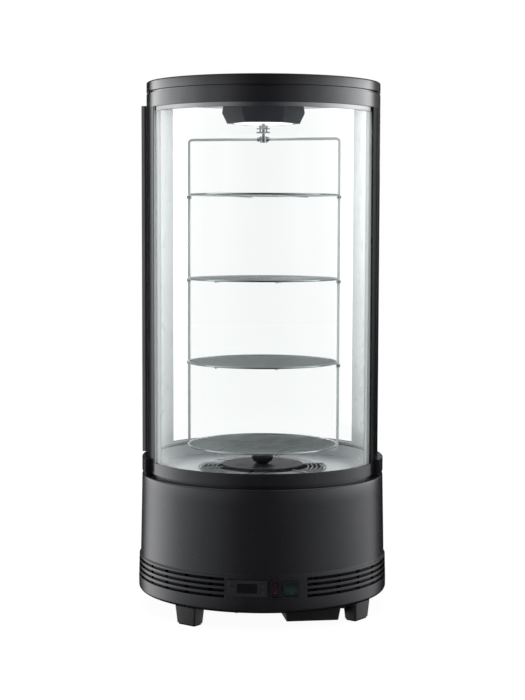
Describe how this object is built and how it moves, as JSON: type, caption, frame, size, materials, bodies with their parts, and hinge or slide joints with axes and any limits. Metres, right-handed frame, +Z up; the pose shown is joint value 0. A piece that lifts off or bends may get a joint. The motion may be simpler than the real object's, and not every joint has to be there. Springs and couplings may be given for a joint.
{
  "type": "refrigerated cake display case",
  "caption": "Round counter-top chilled display: a black drum base with controls, a curved glass tower with a turning wire rack, and a curved glass door at the back.",
  "frame": {"origin": "middle of the footprint on the table, at the underside of the feet", "axes": "+Z up, -Y towards the control panel and the fixed front glass, +X to the viewer's right"},
  "size_m": [0.4549, 0.4594, 0.9525],
  "materials": {
    "galvanised_steel": "dull zinc",
    "housing_black": "semi-gloss",
    "trim_black": "semi-gloss",
    "foot_black": "moulded",
    "pad_rubber": "matt",
    "screw_steel": "plated",
    "tray_black": "moulded",
    "compressor_black": "gloss enamel",
    "fin_aluminium": "bare",
    "shroud_black": "moulded",
    "motor_steel": "plated",
    "fan_black": "moulded",
    "tub_white": "moulded",
    "floor_steel": "bright rolled",
    "bright_wire": "polished",
    "disc_black": "satin paint",
    "thermostat_black": "fine grain",
    "window_smoked": "smoked and clear-coated",
    "key_grey": "satin",
    "switch_black": "moulded",
    "rocker_red": "translucent, lit from inside",
    "rocker_green": "translucent, lit from inside",
    "clear_glass": "clear",
    "liner_white": "satin",
    "ceiling_white": "white enamel",
    "motor_cover_grey": "satin",
    "diffuser_white": "opal",
    "gasket_grey": "soft",
    "grip_grey": "satin",
    "drive_steel": "plated",
    "knob_black": "moulded"
  },
  "bodies": {
    "case": {"base_pan": "galvanised_steel", "base_housing": "housing_black", "base_ring": "housing_black", "feet": "foot_black", "foot_pads": "pad_rubber", "base_screws": "screw_steel", "compressor": "compressor_black", "condenser": "fin_aluminium", "fan_shroud": "shroud_black", "condenser_fan_motor": "motor_steel", "insulation_tub": "tub_white", "evaporator": "fin_aluminium", "evaporator_fan_motor": "motor_steel", "floor_plate": "floor_steel", "fan_guard": "bright_wire", "pivot_plate": "disc_black", "thermostat_bezel": "thermostat_black", "thermostat_window": "window_smoked", "lamp_switch_body": "switch_black", "power_switch_body": "switch_black", "power_inlet": "switch_black", "front_glass": "clear_glass", "glass_trims": "trim_black", "left_side_post": "trim_black", "right_side_post": "trim_black", "side_liners": "liner_white", "cap_band": "trim_black", "cap_lid": "trim_black", "ceiling_panel": "ceiling_white", "motor_housing": "motor_cover_grey", "lamp_diffuser": "diffuser_white", "gear_motor": "motor_steel", "hinge_pins": "screw_steel"},
    "door": {"hinge_stile": "trim_black", "grip_stile": "trim_black", "door_top_rail": "trim_black", "door_bottom_rail": "trim_black", "door_glass": "clear_glass", "door_inner_frame": "liner_white", "door_gasket": "gasket_grey", "door_grip": "grip_grey"},
    "turntable": {"drive_coupling": "drive_steel", "rack_hub": "drive_steel", "rack_top_bar": "bright_wire", "rack_side_rods": "bright_wire", "rack_bottom_bar": "bright_wire", "shelf_collars": "drive_steel", "shelf_bottom": "bright_wire", "shelf_lower": "bright_wire", "shelf_upper": "bright_wire", "shelf_top": "bright_wire", "pivot_knob": "knob_black"},
    "condenser_rotor": {"condenser_fan": "fan_black"},
    "chamber_rotor": {"evaporator_fan": "fan_black"},
    "tray": {"drip_tray": "tray_black"},
    "lamp_rocker": {"lamp_switch_rocker": "rocker_red"},
    "power_rocker": {"power_switch_rocker": "rocker_green"},
    "set_button": {"set_key": "key_grey"},
    "up_button": {"up_key": "key_grey"},
    "down_button": {"down_key": "key_grey"}
  },
  "joints": [
    {"name": "door_hinge", "type": "hinge", "parent": "case", "child": "door", "pos_m": [0.2029, 0.03323, 0.60175], "axis": [0, 0, -1], "range_deg": [0, 95]},
    {"name": "rack_turn", "type": "hinge", "parent": "case", "child": "turntable", "pos_m": [0, 0, 0.8525], "axis": [0, 0, 1], "continuous": true},
    {"name": "condenser_fan_spin", "type": "hinge", "parent": "case", "child": "condenser_rotor", "pos_m": [0.10915, 0, 0.09725], "axis": [1, 0, 0], "continuous": true},
    {"name": "chamber_fan_spin", "type": "hinge", "parent": "case", "child": "chamber_rotor", "pos_m": [0, 0, 0.2235], "axis": [0, 0, 1], "continuous": true},
    {"name": "tray_slide", "type": "slide", "parent": "case", "child": "tray", "axis": [0.1392, -0.9903, 0], "range_m": [0, 0.1]},
    {"name": "lamp_rocker_tilt", "type": "hinge", "parent": "case", "child": "lamp_rocker", "pos_m": [0.02211, -0.22155, 0.0755], "axis": [0.9951, 0.0993, 0], "range_deg": [0, 14]},
    {"name": "power_rocker_tilt", "type": "hinge", "parent": "case", "child": "power_rocker", "pos_m": [0.04895, -0.2172, 0.0745], "axis": [0.9755, 0.2198, 0], "range_deg": [0, 14]},
    {"name": "set_key_press", "type": "slide", "parent": "case", "child": "set_button", "axis": [0.1132, 0.9936, 0], "range_m": [0, 0.0008], "stiffness_N_per_m": 800},
    {"name": "up_key_press", "type": "slide", "parent": "case", "child": "up_button", "axis": [0.1132, 0.9936, 0], "range_m": [0, 0.0008], "stiffness_N_per_m": 800},
    {"name": "down_key_press", "type": "slide", "parent": "case", "child": "down_button", "axis": [0.1132, 0.9936, 0], "range_m": [0, 0.0008], "stiffness_N_per_m": 800}
  ]
}
